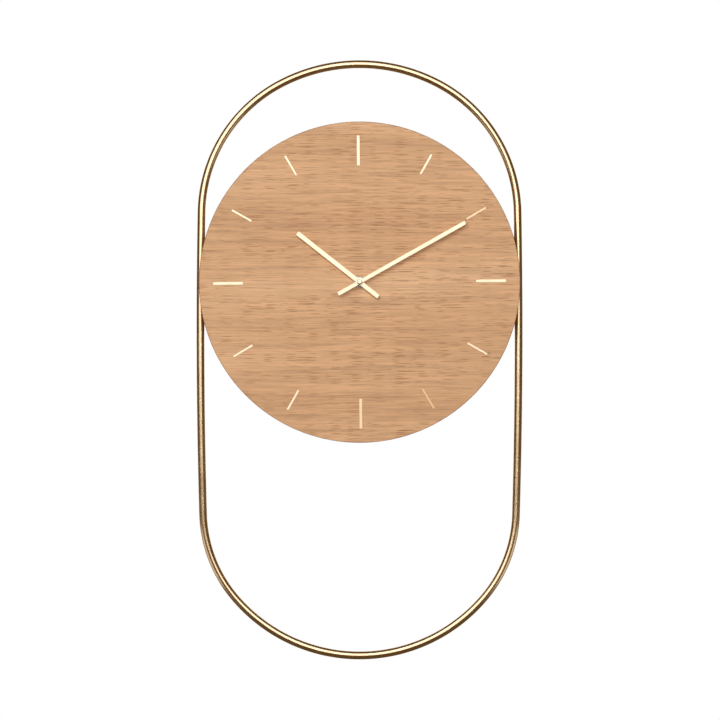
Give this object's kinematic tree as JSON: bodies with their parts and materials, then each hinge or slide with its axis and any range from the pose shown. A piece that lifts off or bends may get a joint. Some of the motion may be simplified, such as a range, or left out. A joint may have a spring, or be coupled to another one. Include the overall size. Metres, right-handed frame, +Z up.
{
  "type": "wall clock",
  "caption": "Round veneered wooden dial with baton markers and flat hands, held in a tall rounded metal loop, with a battery quartz movement behind it.",
  "frame": {"origin": "middle of the keyhole's round entry, on the hanger plate's face towards the wall", "axes": "+Z up, +X to the right of someone reading the clock, -Y out of the dial towards them; the hands' axis lies at X 0, Z -0.110 and the wall at Y +0.0035"},
  "size_m": [0.3266, 0.033, 0.6],
  "materials": {
    "oak_veneer": "matt lacquered oak, grain across",
    "fibreboard": "bare sanded",
    "satin_brass": "satin brass plated",
    "champagne_metal": "pale gold anodised, fine brushed",
    "zinc_steel": "zinc plated",
    "turned_brass": "turned bright",
    "black_rubber": "matt",
    "black_case_plastic": "fine spark texture",
    "white_gear_plastic": "moulded acetal",
    "magnet_black": "bonded magnet",
    "enamelled_copper": "enamelled copper wire",
    "board_laminate": "green solder resist",
    "chip_resin": "black encapsulation",
    "battery_sleeve": "plain printed sleeve, no text",
    "nickel_contact": "nickel plated spring strip"
  },
  "bodies": {
    "clock_body": {"battery": "battery_sleeve", "battery_contact_minus": "nickel_contact", "battery_contact_plus": "nickel_contact", "centre_bush": "turned_brass", "circuit_board": "board_laminate", "clock_chip": "chip_resin", "coil_bobbin": "white_gear_plastic", "coil_core": "zinc_steel", "coil_winding": "enamelled_copper", "dial_core": "fibreboard", "dial_washer": "turned_brass", "edge_band": "oak_veneer", "face_veneer": "oak_veneer", "hanger_plate": "zinc_steel", "hanger_screws": "zinc_steel", "hex_nut": "turned_brass", "hour_markers_long": "champagne_metal", "hour_markers_short": "champagne_metal", "loop_clamp_left": "satin_brass", "loop_clamp_right": "satin_brass", "loop_clamp_screws": "zinc_steel", "loop_frame": "satin_brass", "movement_front_case": "black_case_plastic", "movement_rear_cover": "black_case_plastic", "quartz_crystal": "zinc_steel", "rubber_washer": "black_rubber", "stator": "zinc_steel", "stator_screws": "zinc_steel", "train_plate": "white_gear_plastic", "wall_bumpers": "black_rubber"},
    "minute_hand_group": {"minute_hand": "champagne_metal", "hand_nut": "champagne_metal", "minute_arbor": "turned_brass", "clutch_spring": "zinc_steel", "clutch_collar": "zinc_steel"},
    "hour_hand_group": {"hour_hand": "champagne_metal", "hour_hand_hub": "zinc_steel", "hour_wheel": "white_gear_plastic"},
    "minute_wheel_group": {"minute_wheel": "white_gear_plastic"},
    "setting_knob_group": {"setting_knob": "white_gear_plastic"},
    "centre_wheel_group": {"centre_wheel": "white_gear_plastic"},
    "third_wheel_group": {"third_wheel": "white_gear_plastic"},
    "second_wheel_group": {"second_wheel": "white_gear_plastic"},
    "transfer_wheel_group": {"transfer_wheel": "white_gear_plastic"},
    "rotor_group": {"rotor": "white_gear_plastic", "rotor_magnet": "magnet_black"}
  },
  "joints": [
    {"name": "minute_hand_turn", "type": "hinge", "parent": "clock_body", "child": "minute_hand_group", "pos_m": [0, 0, -0.11], "axis": [0, 1, 0], "continuous": true},
    {"name": "hour_hand_turn", "type": "hinge", "parent": "clock_body", "child": "hour_hand_group", "pos_m": [0, 0, -0.11], "axis": [0, 1, 0], "continuous": true},
    {"name": "minute_wheel_turn", "type": "hinge", "parent": "clock_body", "child": "minute_wheel_group", "pos_m": [-0.00849, 0, -0.10151], "axis": [0, 1, 0], "continuous": true},
    {"name": "setting_knob_turn", "type": "hinge", "parent": "clock_body", "child": "setting_knob_group", "pos_m": [-0.00849, 0, -0.08951], "axis": [0, 1, 0], "continuous": true},
    {"name": "second_wheel_turn", "type": "hinge", "parent": "clock_body", "child": "second_wheel_group", "pos_m": [0.00808, 0, -0.09752], "axis": [0, 1, 0], "continuous": true},
    {"name": "third_wheel_turn", "type": "hinge", "parent": "clock_body", "child": "third_wheel_group", "pos_m": [0.00689, 0, -0.10421], "axis": [0, 1, 0], "continuous": true},
    {"name": "centre_wheel_turn", "type": "hinge", "parent": "clock_body", "child": "centre_wheel_group", "pos_m": [0, 0, -0.11], "axis": [0, 1, 0], "continuous": true},
    {"name": "transfer_wheel_turn", "type": "hinge", "parent": "clock_body", "child": "transfer_wheel_group", "pos_m": [0.00682, 0, -0.09043], "axis": [0, 1, 0], "continuous": true},
    {"name": "rotor_turn", "type": "hinge", "parent": "clock_body", "child": "rotor_group", "pos_m": [0.01303, 0, -0.09152], "axis": [0, 1, 0], "continuous": true}
  ],
  "couplings": [
    {"joint": "hour_hand_turn", "follows": "minute_hand_turn", "ratio": 0.083333},
    {"joint": "minute_wheel_turn", "follows": "minute_hand_turn", "ratio": -0.33333},
    {"joint": "setting_knob_turn", "follows": "minute_hand_turn", "ratio": 1},
    {"joint": "third_wheel_turn", "follows": "second_wheel_turn", "ratio": -0.13333},
    {"joint": "centre_wheel_turn", "follows": "second_wheel_turn", "ratio": 0.016667},
    {"joint": "transfer_wheel_turn", "follows": "second_wheel_turn", "ratio": -5},
    {"joint": "rotor_turn", "follows": "second_wheel_turn", "ratio": 30}
  ]
}
